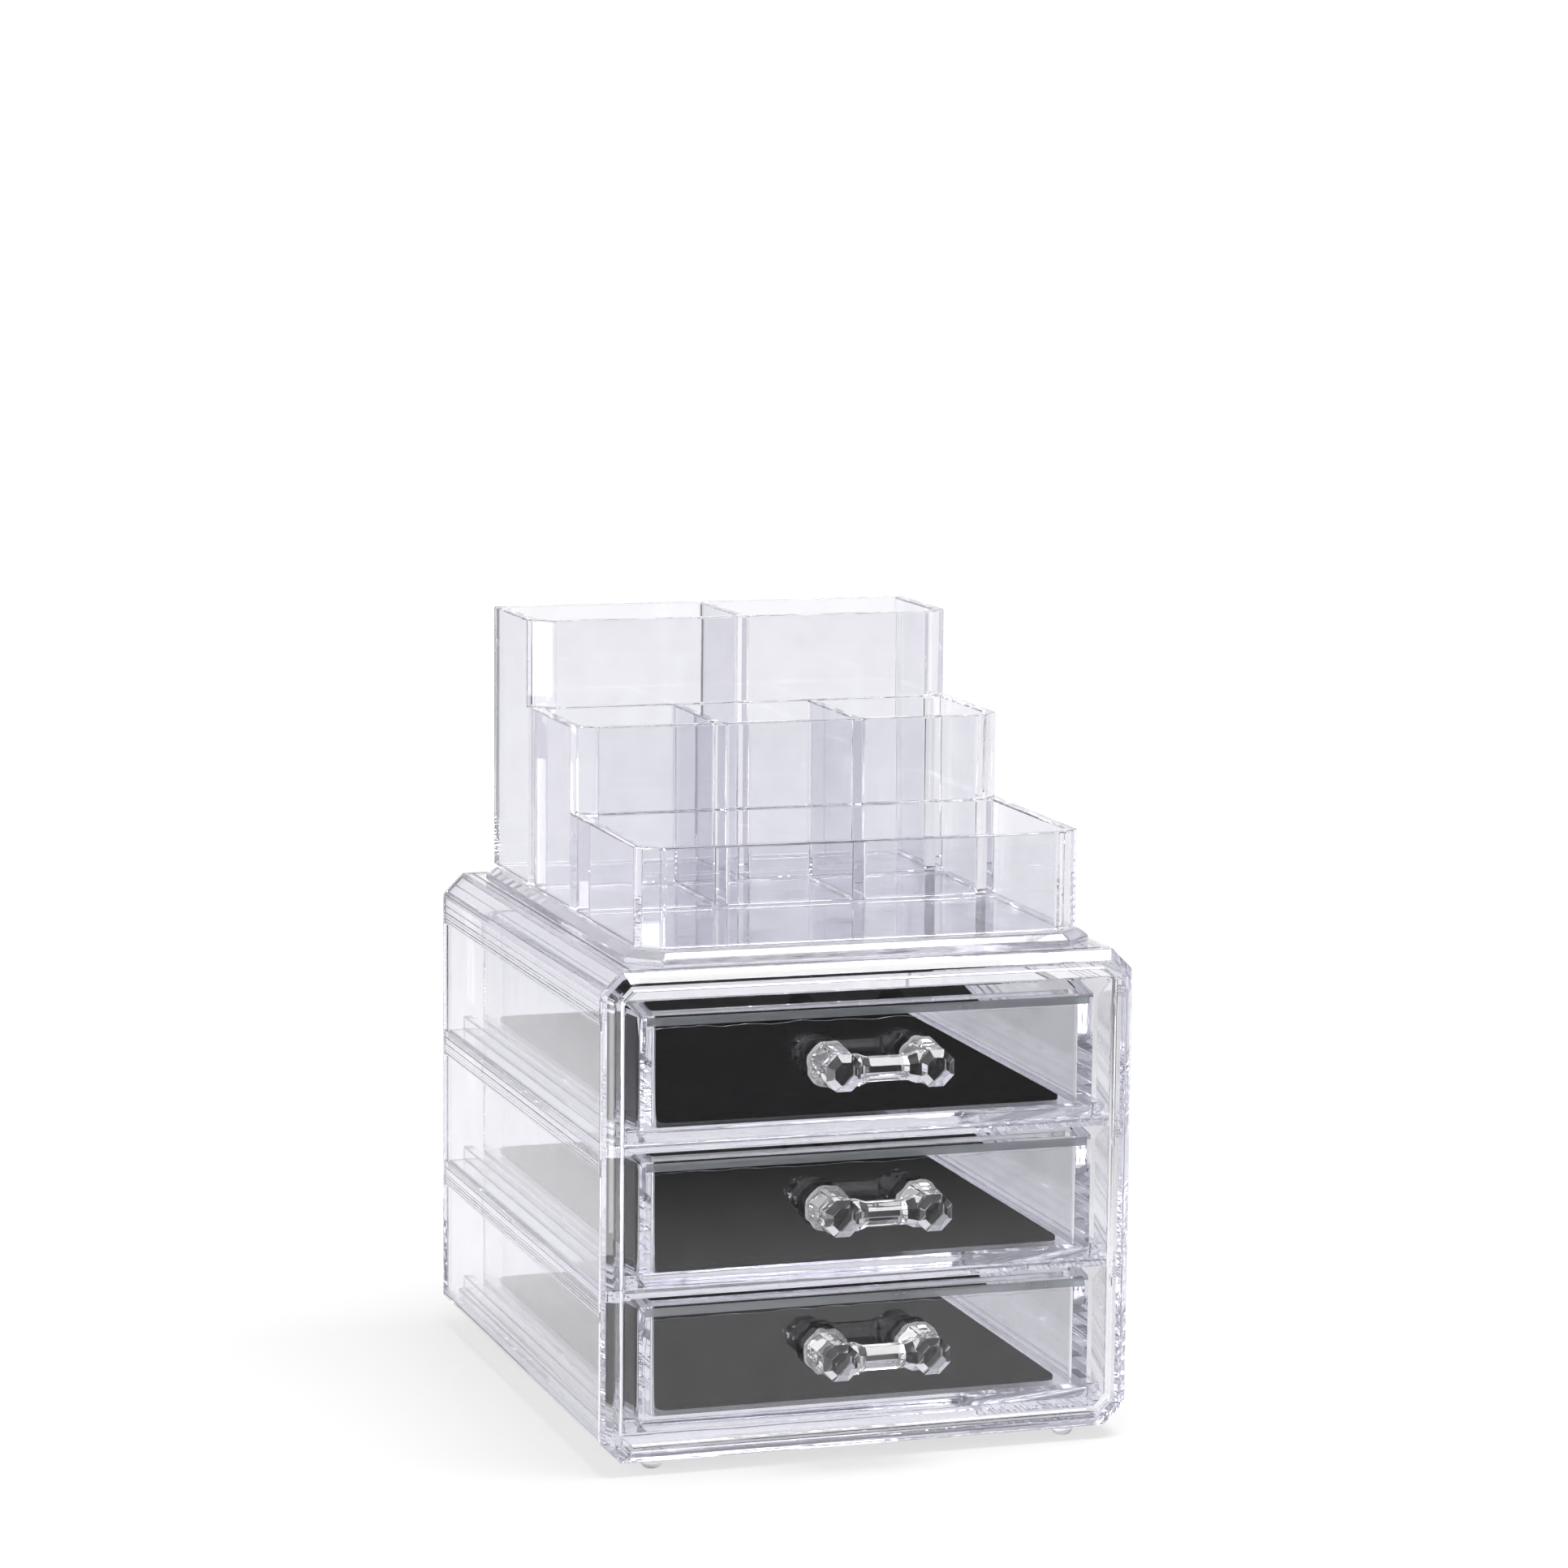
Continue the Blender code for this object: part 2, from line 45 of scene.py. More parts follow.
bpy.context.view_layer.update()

# Front frame: a moulded ring of clear polystyrene with a wide bevel outside and cut corners.
# It closes the front ends of the walls and shows mostly as bright rims with thin grey lines.
# It is cemented to the side walls, top and bottom, and small pools of cement show at the bands.
MERGE_DISTANCE = 1e-6
FLAT_ANGLE = math.radians(1)
EDGE_ANGLE = math.radians(20)
CHEST_EDGE_ROUND = 0.00036
ABSORPTION_PER_METRE = 1.9
RIPPLE_SPACING = 0.014
SCRATCH_SPACING = 0.00025
SCRATCH_DEPTH = 0.00000015
WIPING_SPACING = 0.009
WIPED_SHADE = 0.96


def linear(code):
    """A colour written as sRGB hex, as the linear values that a shader takes."""
    channels = [int(code[i:i + 2], 16) / 255 for i in (1, 3, 5)]
    return (*(c / 12.92 if c <= 0.04045 else ((c + 0.055) / 1.055) ** 2.4 for c in channels), 1)


def add(tree, kind, settings=(), links=()):
    """Adds a shader node, gives its sockets and properties their values and links its inputs."""
    made = tree.nodes.new("ShaderNode" + kind)
    for key, value in dict(settings).items():
        if isinstance(key, int) or key in made.inputs:
            made.inputs[key].default_value = value
        else:
            setattr(made, key, value)
    for key, source in dict(links).items():
        tree.links.new(source, made.inputs[key])
    return made


def clear_moulding(name, tint, depth_tint, ior, ripple_height, handling, clarity, gloss):
    """Clear plastic or cement with flow ripples, hairline scratches and faint wiping marks.

    tint is what each surface takes from the light, depth_tint what a long way inside takes.
    handling is the roughest that wiped patches get, and clarity is 1 for fully clear.
    gloss scales the mirror image seen straight on.
    """
    made = bpy.data.materials.new(name)
    made.use_nodes = True
    tree = made.node_tree
    shader = tree.nodes["Principled BSDF"]
    shader.inputs["Transmission Weight"].default_value = clarity
    shader.inputs["IOR"].default_value = ior
    # a gloss below 1 dims the mirror image: painted shade in the reflections
    shader.inputs["Specular Tint"].default_value = (gloss, gloss, gloss, 1)
    place = add(tree, "TexCoord").outputs["Object"]
    # flow ripples of the melt, about 14 mm from crest to crest
    flow = add(
        tree, "TexNoise", {"Scale": 1 / RIPPLE_SPACING, "Detail": 1.0}, {"Vector": place}
    )
    # hairline scratches, 0.25 mm apart and 20 times as long, drawn coarser than real ones
    lie = add(
        tree, "Mapping", {"Rotation": (0.5, 0.3, 0.9), "Scale": (1, 0.05, 1)}, {"Vector": place}
    )
    hair = add(
        tree,
        "TexNoise",
        {"Scale": 1 / SCRATCH_SPACING, "Detail": 2.0},
        {"Vector": lie.outputs[0]},
    )
    # wiping marks, patches of about 9 mm
    wiped = add(
        tree, "TexNoise", {"Scale": 1 / WIPING_SPACING, "Detail": 4.0}, {"Vector": place}
    )
    haze = add(
        tree,
        "MapRange",
        {"From Min": 0.52, "From Max": 0.8, "To Min": 0.0, "To Max": handling},
        {"Value": wiped.outputs[0]},
    )
    tree.links.new(haze.outputs[0], shader.inputs["Roughness"])
    smear = add(
        tree, "MapRange", {"From Min": 0.45, "From Max": 0.75}, {"Value": wiped.outputs[0]}
    )
    smeared = (*(WIPED_SHADE * c for c in linear(tint)[:3]), 1)
    colour = add(
        tree,
        "Mix",
        {"data_type": "RGBA", 6: linear(tint), 7: smeared},
        {0: smear.outputs[0]},
    )
    tree.links.new(colour.outputs[2], shader.inputs["Base Color"])
    # thin walls stay clear, and light that runs far inside the plastic comes out tinted
    body = add(
        tree, "VolumeAbsorption", {"Color": linear(depth_tint), "Density": ABSORPTION_PER_METRE}
    )
    tree.links.new(body.outputs[0], tree.nodes["Material Output"].inputs["Volume"])
    rippled = add(
        tree,
        "Bump",
        {"Strength": 1.0, "Distance": ripple_height},
        {"Height": flow.outputs[0]},
    )
    scratched = add(
        tree,
        "Bump",
        {"Strength": 1.0, "Distance": SCRATCH_DEPTH},
        {"Height": hair.outputs[0], "Normal": rippled.outputs[0]},
    )
    tree.links.new(scratched.outputs[0], shader.inputs["Normal"])
    return made


# Polystyrene, injection moulded: bends light more than glass, so its edges go bright or dark
chest_polystyrene = clear_moulding(
    "polystyrene_clear_chest_moulding",
    tint="#f9f9fc",
    depth_tint="#c5c4d7",
    ior=1.59,
    ripple_height=0.000004,
    handling=0.012,
    clarity=1.0,
    gloss=1.0,
)
# Solvent cement, set clear: where it fills a joint the light goes straight through
solvent_cement = clear_moulding(
    "solvent_cement_set_clear",
    tint="#fcfcfd",
    depth_tint="#d8d8e4",
    ior=1.59,
    ripple_height=0.00001,
    handling=0.05,
    clarity=1.0,
    gloss=0.5,
)


def merged_copy(node):
    """A CAD node's loose triangles as one closed shape whose flat faces are whole again."""
    shape = bmesh.new()
    shape.from_mesh(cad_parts[node].data)
    bmesh.ops.remove_doubles(shape, verts=shape.verts, dist=MERGE_DISTANCE)
    bmesh.ops.dissolve_limit(
        shape, angle_limit=FLAT_ANGLE, verts=shape.verts, edges=shape.edges
    )
    return shape


def round_edges(shape, radius, segments, wanted=None):
    """Rounds the sharp edges of a shape, as the mould does."""
    edges = [e for e in shape.edges if e.is_manifold and e.calc_face_angle(0) > EDGE_ANGLE]
    if wanted:
        edges = [e for e in edges if wanted(e)]
    bmesh.ops.bevel(
        shape,
        geom=edges,
        offset=radius,
        offset_type="OFFSET",
        affect="EDGES",
        segments=segments,
        profile=0.5,
        clamp_overlap=True,
        material=-1,
    )


def push_out(shape, geometry, way):
    """Extrudes a sheet of faces into a solid, moves its new end and gives back that end."""
    extruded = bmesh.ops.extrude_face_region(shape, geom=geometry)
    moved = [g for g in extruded["geom"] if isinstance(g, bmesh.types.BMVert)]
    bmesh.ops.translate(shape, vec=way, verts=moved)
    return moved


def piece(name, shape, surface):
    """Writes a shape to a mesh object of its own, with its place in its mesh."""
    data = bpy.data.meshes.new(name)
    shape.to_mesh(data)
    shape.free()
    data.materials.append(surface)
    made = bpy.data.objects.new(name, data)
    scene.collection.objects.link(made)
    return made


frame_shape = merged_copy("front_frame")
round_edges(frame_shape, CHEST_EDGE_ROUND, 2)
front_frame = piece("front_frame_moulding", frame_shape, chest_polystyrene)
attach(front_frame, "chest")
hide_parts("front_frame")

frame_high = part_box("front_frame")[1]
wall_low, wall_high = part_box("left_side")
SHELVES = ("shelf_lower", "shelf_middle", "shelf_upper")
BAND_DROP = 0.0035
SHELF_THICKNESS = 0.003
drawer_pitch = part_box("shelf_upper")[1].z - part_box("shelf_middle")[1].z
shelf_heights = [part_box(name)[0].z + SHELF_THICKNESS for name in SHELVES]
band_tops = [*shelf_heights[1:], shelf_heights[2] + drawer_pitch]
POOL_RADIUS = 0.00165
POOL_SIDES = 24
POOL_CENTRE_INSET = 0.0003
POOL_EDGE_INSET = 0.0004
# cement reaches this far into both neighbours, so no air is left between them
CEMENT_OVERLAP = 0.00002
for side, label in ((-1, "left"), (1, "right")):
    pools = bmesh.new()
    for top in band_tops:
        made = bmesh.ops.create_circle(
            pools, cap_ends=True, radius=POOL_RADIUS, segments=POOL_SIDES
        )
        turn = Matrix.Rotation(math.pi / 2, 4, "X")
        place = Vector((
            side * (frame_high.x - POOL_CENTRE_INSET),
            frame_high.y - CEMENT_OVERLAP,
            top - SHELF_THICKNESS - BAND_DROP,
        ))
        bmesh.ops.transform(pools, matrix=Matrix.Translation(place) @ turn, verts=made["verts"])
    for vert in pools.verts:
        vert.co.x = side * min(abs(vert.co.x), frame_high.x - POOL_EDGE_INSET)
    pool_depth = wall_low.y - frame_high.y + 2 * CEMENT_OVERLAP
    push_out(pools, pools.faces[:], (0, pool_depth, 0))
    bmesh.ops.recalc_face_normals(pools, faces=pools.faces)
    cement = piece("frame_cement_pools_" + label, pools, solvent_cement)
    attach(cement, "chest")

# Back panel: a plate of clear polystyrene with a bevelled edge, cemented over the walls' rear ends.
# It is moulded apart from the rest, and its bevel is the grey line down the far left side.
back_shape = merged_copy("back_panel")
round_edges(back_shape, CHEST_EDGE_ROUND, 2)
back_panel = piece("back_panel_moulding", back_shape, chest_polystyrene)
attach(back_panel, "chest")
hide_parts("back_panel")

# Side walls: clear polystyrene with raised bands that hide the shelves' ends and stiffen the wall.
# The 45 degree corner strips and the bands carry fine moulded ribs, seen as parallel lines.
# Each wall is one moulding, cemented between the front frame and the back panel.
BAND_PROUD = 0.0007
CORNER_CUT = 0.0054
WALL_THICKNESS = 0.0028
SEAM_INSET = 0.0074
BASE_BAND_RISE = 0.0028
RIB_WIDTH = 0.00042
RIB_DEPTH = 0.00022
# how far each rib's groove lies along its band or strip
BASE_RIBS = (0.0009,)
BAND_RIBS = (0.0006, 0.0014, 0.0022, 0.003, 0.0048)
LOW_STRIP_RIBS = (0.0011, 0.0065)
TOP_STRIP_RIBS = (0.0011, 0.0038, 0.0065)
# how much less the cut is on the inside of a wall, for each unit of its thickness
CUT_SHRINK = 2 - math.sqrt(2)


def ribbed(start, end, distances):
    """Points from start to end with a V groove cut at each distance along the way."""
    way = (end - start).normalized()
    inward = Vector((-way.y, way.x))
    points = [start]
    for distance in distances:
        middle = start + way * distance
        points.append(middle - way * RIB_WIDTH / 2)
        points.append(middle + inward * RIB_DEPTH)
        points.append(middle + way * RIB_WIDTH / 2)
    return points


def wall_outline():
    """The right wall's section, anticlockwise from the lower seam: x outwards, then z."""
    out = frame_high.x
    window = out - BAND_PROUD
    low, high = wall_low.z, wall_high.z
    seam = out - SEAM_INSET
    corner = [
        Vector((seam, low)),
        Vector((out - CORNER_CUT, low)),
        Vector((out, low + CORNER_CUT)),
    ]
    points = [corner[0]]
    points += ribbed(corner[1], corner[2], LOW_STRIP_RIBS)
    base_top = shelf_heights[0] - SHELF_THICKNESS + BASE_BAND_RISE
    points += ribbed(corner[2], Vector((out, base_top)), BASE_RIBS)
    points += [Vector((out, base_top)), Vector((window, base_top))]
    for number, top in enumerate(band_tops):
        foot = top - SHELF_THICKNESS - BAND_DROP
        points.append(Vector((window, foot)))
        last = number == len(band_tops) - 1
        crest = high - CORNER_CUT if last else top
        points += ribbed(Vector((out, foot)), Vector((out, crest)), BAND_RIBS)
        if not last:
            points += [Vector((out, crest)), Vector((window, crest))]
    strip_foot = Vector((out, high - CORNER_CUT))
    strip_head = Vector((out - CORNER_CUT, high))
    points += ribbed(strip_foot, strip_head, TOP_STRIP_RIBS)
    points += [strip_head, Vector((seam, high))]
    inner = out - WALL_THICKNESS
    cut = CORNER_CUT - WALL_THICKNESS * CUT_SHRINK
    points += [
        Vector((seam, high - WALL_THICKNESS)),
        Vector((inner - cut, high - WALL_THICKNESS)),
        Vector((inner, high - WALL_THICKNESS - cut)),
        Vector((inner, low + WALL_THICKNESS + cut)),
        Vector((inner - cut, low + WALL_THICKNESS)),
        Vector((seam, low + WALL_THICKNESS)),
    ]
    return points


for side, label in ((-1, "left"), (1, "right")):
    wall = bmesh.new()
    corners = [wall.verts.new((side * p.x, wall_low.y, p.y)) for p in wall_outline()]
    section = wall.faces.new(corners)
    push_out(wall, [section], (0, wall_high.y - wall_low.y, 0))
    bmesh.ops.recalc_face_normals(wall, faces=wall.faces)
    side_wall = piece(label + "_side_moulding", wall, chest_polystyrene)
    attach(side_wall, "chest")
    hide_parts(label + "_side")

# Top, bottom and shelves: flat clear polystyrene plates cemented between the side walls.
# Each shelf has a low guide strip at either side that keeps its drawer straight.
for name in ("top_panel", "bottom_panel", *SHELVES):
    plate = merged_copy(name)
    round_edges(plate, CHEST_EDGE_ROUND, 2)
    panel = piece(name + "_moulding", plate, chest_polystyrene)
    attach(panel, "chest")
    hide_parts(name)

# Feet: four small domes of clear polyurethane, stuck on under the bottom panel.
# They are cast in a tray as drops, so they are smooth, soft-edged and a little cloudy.
# Polyurethane, cast soft: a low, slightly blurred shine
bumper_urethane = clear_moulding(
    "polyurethane_clear_cast_bumper",
    tint="#f4f4f6",
    depth_tint="#d0d0dc",
    ior=1.47,
    ripple_height=0.00001,
    handling=0.15,
    clarity=0.97,
    gloss=1.0,
)
FOOT_STEPS = 10
FOOT_SIDES = 40
FOOT_FLAT = 0.5
FOOT_SWELL = 0.9
FOOT_SMOOTH_BELOW = math.radians(40)
for end in ("front", "rear"):
    for label in ("left", "right"):
        low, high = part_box(f"foot_{end}_{label}")
        middle = (low + high) / 2
        radius = (high.x - low.x) / 2
        height = high.z - low.z
        dome = bmesh.new()
        path = [dome.verts.new((middle.x, middle.y, high.z))]
        path.append(dome.verts.new((middle.x + radius, middle.y, high.z)))
        for step in range(1, FOOT_STEPS):
            turn = math.pi / 2 * step / FOOT_STEPS
            path.append(dome.verts.new((
                middle.x + radius * (FOOT_FLAT + (1 - FOOT_FLAT) * math.cos(turn)),
                middle.y,
                high.z - height * math.sin(turn) ** FOOT_SWELL,
            )))
        path.append(dome.verts.new((middle.x + radius * FOOT_FLAT, middle.y, low.z)))
        path.append(dome.verts.new((middle.x, middle.y, low.z)))
        rim = [dome.edges.new(pair) for pair in zip(path, path[1:])]
        bmesh.ops.spin(
            dome,
            geom=path + rim,
            cent=middle,
            axis=(0, 0, 1),
            angle=2 * math.pi,
            steps=FOOT_SIDES,
            use_merge=True,
        )
        bmesh.ops.remove_doubles(dome, verts=dome.verts, dist=MERGE_DISTANCE)
        bmesh.ops.recalc_face_normals(dome, faces=dome.faces)
        foot = piece(f"foot_{end}_{label}_bumper", dome, bumper_urethane)
        foot.data.shade_smooth()
        foot.data.set_sharp_from_angle(angle=FOOT_SMOOTH_BELOW)
        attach(foot, "chest")
        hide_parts(f"foot_{end}_{label}")

# Drawer fronts: thick clear polystyrene plates with a bevelled border on all four sides.
# The box behind is cemented on: a clear film that ends in a wavy line, and above it a hazy strip of
# painted reflection.
DRAWERS = ("drawer_lower", "drawer_middle", "drawer_upper")
PANEL_EDGE_ROUND = 0.00028
# Polystyrene, injection moulded, with painted shade in its reflections: its mirror image is dimmed
# to a third, so the felt behind it stays nearly black
drawer_polystyrene = clear_moulding(
    "polystyrene_clear_drawer_moulding",
    tint="#fafafb",
    depth_tint="#c8cbd6",
    ior=1.59,
    ripple_height=0.000005,
    handling=0.012,
    clarity=1.0,
    gloss=0.32,
)
# A bluish haze in the air gap above the film, painted reflection: it stands in for the light the
# gap mirrors, and softens what is behind it
haze_painted_reflection_material = clear_moulding(
    "bluish_haze_painted_reflection",
    tint="#dfe5ea",
    depth_tint="#d8d8e4",
    ior=1.5,
    ripple_height=0.00002,
    handling=0.5,
    clarity=0.45,
    gloss=1.0,
)
FILM_INSET = 0.0011
FILM_TOP_GAP = 0.0026
FILM_BOTTOM_GAP = 0.0009
FILM_WAVE = 0.0006
FILM_WAVES_ACROSS = 9
FILM_WAVES_UP = 2.5
FILM_COLUMNS = 140
FILM_ROWS = 36
HAZE_CLEARANCE = 0.0001
HAZE_TOP_GAP = 0.0004
for number, drawer in enumerate(DRAWERS):
    plate = merged_copy(drawer + "_front")
    round_edges(plate, PANEL_EDGE_ROUND, 2)
    drawer_front = piece(drawer + "_front_moulding", plate, drawer_polystyrene)
    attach(drawer_front, drawer)
    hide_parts(drawer + "_front")

    panel_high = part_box(drawer + "_front")[1]
    box_low, box_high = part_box(drawer + "_box")
    film = bmesh.new()
    grid = bmesh.ops.create_grid(film, x_segments=FILM_COLUMNS, y_segments=FILM_ROWS, size=0.5)
    turn = Matrix.Rotation(math.pi / 2, 4, "X")
    bmesh.ops.transform(film, matrix=turn, verts=grid["verts"])
    half = box_high.x - FILM_INSET
    low_z = box_low.z + FILM_BOTTOM_GAP
    high_z = box_high.z - FILM_TOP_GAP
    for vert in film.verts:
        across, up = vert.co.x * 2, vert.co.z + 0.5
        # seven waves further on for each drawer, so that no two films are alike
        seed = Vector((across * FILM_WAVES_ACROSS, up * FILM_WAVES_UP + number * 7, 0.5))
        wave = FILM_WAVE * noise.noise(seed)
        ripple = FILM_WAVE * 0.3 * noise.noise(seed * 2)
        # only the film's border wanders, its middle stays where it is
        vert.co.x = across * (half + (wave + ripple) * abs(across) ** 6)
        rise = (wave + ripple) * (2 * up - 1) ** 7
        vert.co.z = low_z + (high_z - low_z) * up + rise
        vert.co.y = panel_high.y - CEMENT_OVERLAP
    film_depth = box_low.y - panel_high.y + 2 * CEMENT_OVERLAP
    push_out(film, film.faces[:], (0, film_depth, 0))
    bmesh.ops.recalc_face_normals(film, faces=film.faces)
    cement = piece(drawer + "_cement_film", film, solvent_cement)
    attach(cement, drawer)

    # painted reflection: a bluish hazy block fills the air gap between panel and box above the film
    haze = bmesh.new()
    bmesh.ops.create_cube(haze, size=1)
    haze_low = Vector((-half, panel_high.y + HAZE_CLEARANCE, high_z + FILM_WAVE))
    haze_high = Vector((half, box_low.y - HAZE_CLEARANCE, box_high.z - HAZE_TOP_GAP))
    haze_size = Matrix.Diagonal((*(haze_high - haze_low), 1))
    haze_place = Matrix.Translation((haze_low + haze_high) / 2)
    bmesh.ops.transform(haze, matrix=haze_place @ haze_size, verts=haze.verts)
    painted_reflection_block = piece(drawer + "_haze_sheet_painted_reflection", haze, haze_painted_reflection_material)
    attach(painted_reflection_block, drawer)

# Drawer boxes: open tubs of clear polystyrene, moulded in one shot with round corners.
# The rim is slightly rounded, and the floor runs up into the walls in a soft curve.
# Polystyrene, injection moulded, with painted shade in its reflections, its mirror image dimmed to
# 0.15: its walls' ends show as broad white bands behind the panel
box_polystyrene = clear_moulding(
    "polystyrene_clear_box_moulding",
    tint="#fafafc",
    depth_tint="#c8cad8",
    ior=1.59,
    ripple_height=0.000005,
    handling=0.012,
    clarity=1.0,
    gloss=0.15,
)
BOX_WALL = 0.003
BOX_BACK_CORNER = 0.006
BOX_FLOOR_EDGE = 0.0034
INNER_FRONT_CORNER = 0.0012
INNER_BACK_CORNER = 0.0045
INNER_FLOOR_EDGE = 0.0012
RIM_ROUND = 0.0005
RIM_STEPS = 3
ROUND_STEPS = 10
SMOOTH_BELOW = math.radians(32)


def tub(shape, low, high, front_radius, back_radius, edge_radius):
    """Adds an open tub: upright corners and lower edges rounded, top left open."""
    made = bmesh.ops.create_cube(shape, size=1)
    size = high - low
    place = Matrix.Translation((low + high) / 2) @ Matrix.Diagonal((*size, 1))
    bmesh.ops.transform(shape, matrix=place, verts=made["verts"])
    group = set(made["verts"])
    faces = {face for vert in group for face in vert.link_faces}
    top = [f for f in faces if f.normal.z > 0.9]
    bmesh.ops.delete(shape, geom=top, context="FACES_ONLY")
    for at_front, radius in ((True, front_radius), (False, back_radius)):
        if radius == 0:
            continue
        upright = [
            e for e in shape.edges
            if e.is_valid and set(e.verts) & group
            and abs(e.verts[0].co.z - e.verts[1].co.z) > size.z / 2
            and (e.verts[0].co.y < (low.y + high.y) / 2) == at_front
            and e.calc_face_angle(0) > EDGE_ANGLE
        ]
        rounded = bmesh.ops.bevel(
            shape,
            geom=upright,
            offset=radius,
            offset_type="OFFSET",
            affect="EDGES",
            segments=ROUND_STEPS,
            profile=0.5,
            clamp_overlap=False,
            material=-1,
        )
        group = {v for v in group if v.is_valid} | set(rounded["verts"])
    floor_edges = [
        e for e in shape.edges
        if set(e.verts) <= group
        and all(abs(v.co.z - low.z) < MERGE_DISTANCE for v in e.verts)
        and max(v.co.y for v in e.verts) > low.y + front_radius + MERGE_DISTANCE
        and e.calc_face_angle(0) > EDGE_ANGLE
    ]
    bmesh.ops.bevel(
        shape,
        geom=floor_edges,
        offset=edge_radius,
        offset_type="OFFSET",
        affect="EDGES",
        segments=ROUND_STEPS,
        profile=0.5,
        clamp_overlap=False,
        material=-1,
    )


for drawer in DRAWERS:
    low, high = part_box(drawer + "_box")
    wall = Vector((BOX_WALL, BOX_WALL, BOX_WALL))
    outside = bmesh.new()
    tub(outside, low, high, 0.0, BOX_BACK_CORNER, BOX_FLOOR_EDGE)
    bmesh.ops.recalc_face_normals(outside, faces=outside.faces)
    inside = bmesh.new()
    inner_high = Vector((high.x - BOX_WALL, high.y - BOX_WALL, high.z))
    tub(inside, low + wall, inner_high, INNER_FRONT_CORNER, INNER_BACK_CORNER, INNER_FLOOR_EDGE)
    bmesh.ops.recalc_face_normals(inside, faces=inside.faces)
    bmesh.ops.reverse_faces(inside, faces=inside.faces)
    inner_data = bpy.data.meshes.new("tub_inside")
    inside.to_mesh(inner_data)
    inside.free()
    outside.from_mesh(inner_data)
    bpy.data.meshes.remove(inner_data)
    rims = [e for e in outside.edges if e.is_boundary]
    bmesh.ops.bridge_loops(outside, edges=rims)
    bmesh.ops.recalc_face_normals(outside, faces=outside.faces)
    at_rim = high.z - MERGE_DISTANCE
    round_edges(outside, RIM_ROUND, RIM_STEPS, lambda e: min(v.co.z for v in e.verts) > at_rim)
    box = piece(drawer + "_box_moulding", outside, box_polystyrene)
    box.data.shade_smooth()
    box.data.set_sharp_from_angle(angle=SMOOTH_BELOW)
    keep_flat = box.modifiers.new("keep_flats_flat", "WEIGHTED_NORMAL")
    keep_flat.keep_sharp = True
    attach(box, drawer)
    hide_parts(drawer + "_box")

# Handles: cut and polished clear acrylic, two eight-sided posts with a table in front and a bar.
# They are cemented to the panel, and the cement left a frosty, uneven ring around each post.
# Acrylic, cut and polished: flat facets that each go bright, grey or black
acrylic = clear_moulding(
    "acrylic_clear_cut_and_polished",
    tint="#fefeff",
    depth_tint="#e6e6f0",
    ior=1.49,
    ripple_height=0.000001,
    handling=0.004,
    clarity=1.0,
    gloss=1.0,
)
HANDLE_EDGE_ROUND = 0.00012
POST_SPACING = 0.0232
POST_FOOT_REACH = 0.0048
OCTANT = math.pi / 4
RING_STEPS = 72
RING_SIDES = 10
RING_RADIUS = 0.00048
RING_SWELL = 0.00034
RING_LUMPS = 2.2
# shares of a bead's radius: how far it stands out from the post and from the panel
RING_OUT = 0.6
RING_UP = 0.7
BUBBLE_SPACING = 0.0005
BUBBLE_DEPTH = 0.0003
# Solvent cement, squeezed out and frosted by bubbles: whitish and rough, it glows round each post
frosty_cement = bpy.data.materials.new("solvent_cement_frosted_squeeze_out")
frosty_cement.use_nodes = True
cement_tree = frosty_cement.node_tree
cement_shader = cement_tree.nodes["Principled BSDF"]
cement_shader.inputs["Transmission Weight"].default_value = 0.72
cement_shader.inputs["IOR"].default_value = 1.5
cement_place = add(cement_tree, "TexCoord").outputs["Object"]
# bubbles and crazing, about 0.5 mm apart, drawn coarser than real ones
crazed = add(
    cement_tree, "TexVoronoi", {"Scale": 1 / BUBBLE_SPACING}, {"Vector": cement_place}
)
frost = add(
    cement_tree,
    "MapRange",
    {"From Min": 0.0, "From Max": 0.6, "To Min": 0.15, "To Max": 0.7},
    {"Value": crazed.outputs["Distance"]},
)
cement_tree.links.new(frost.outputs[0], cement_shader.inputs["Roughness"])
cement_colour = add(
    cement_tree,
    "Mix",
    {"data_type": "RGBA", 6: linear("#ffffff"), 7: linear("#e9e9ee")},
    {0: crazed.outputs["Distance"]},
)
cement_tree.links.new(cement_colour.outputs[2], cement_shader.inputs["Base Color"])
cement_bump = add(
    cement_tree,
    "Bump",
    {"Strength": 1.0, "Distance": BUBBLE_DEPTH},
    {"Height": crazed.outputs["Distance"]},
)
cement_tree.links.new(cement_bump.outputs[0], cement_shader.inputs["Normal"])
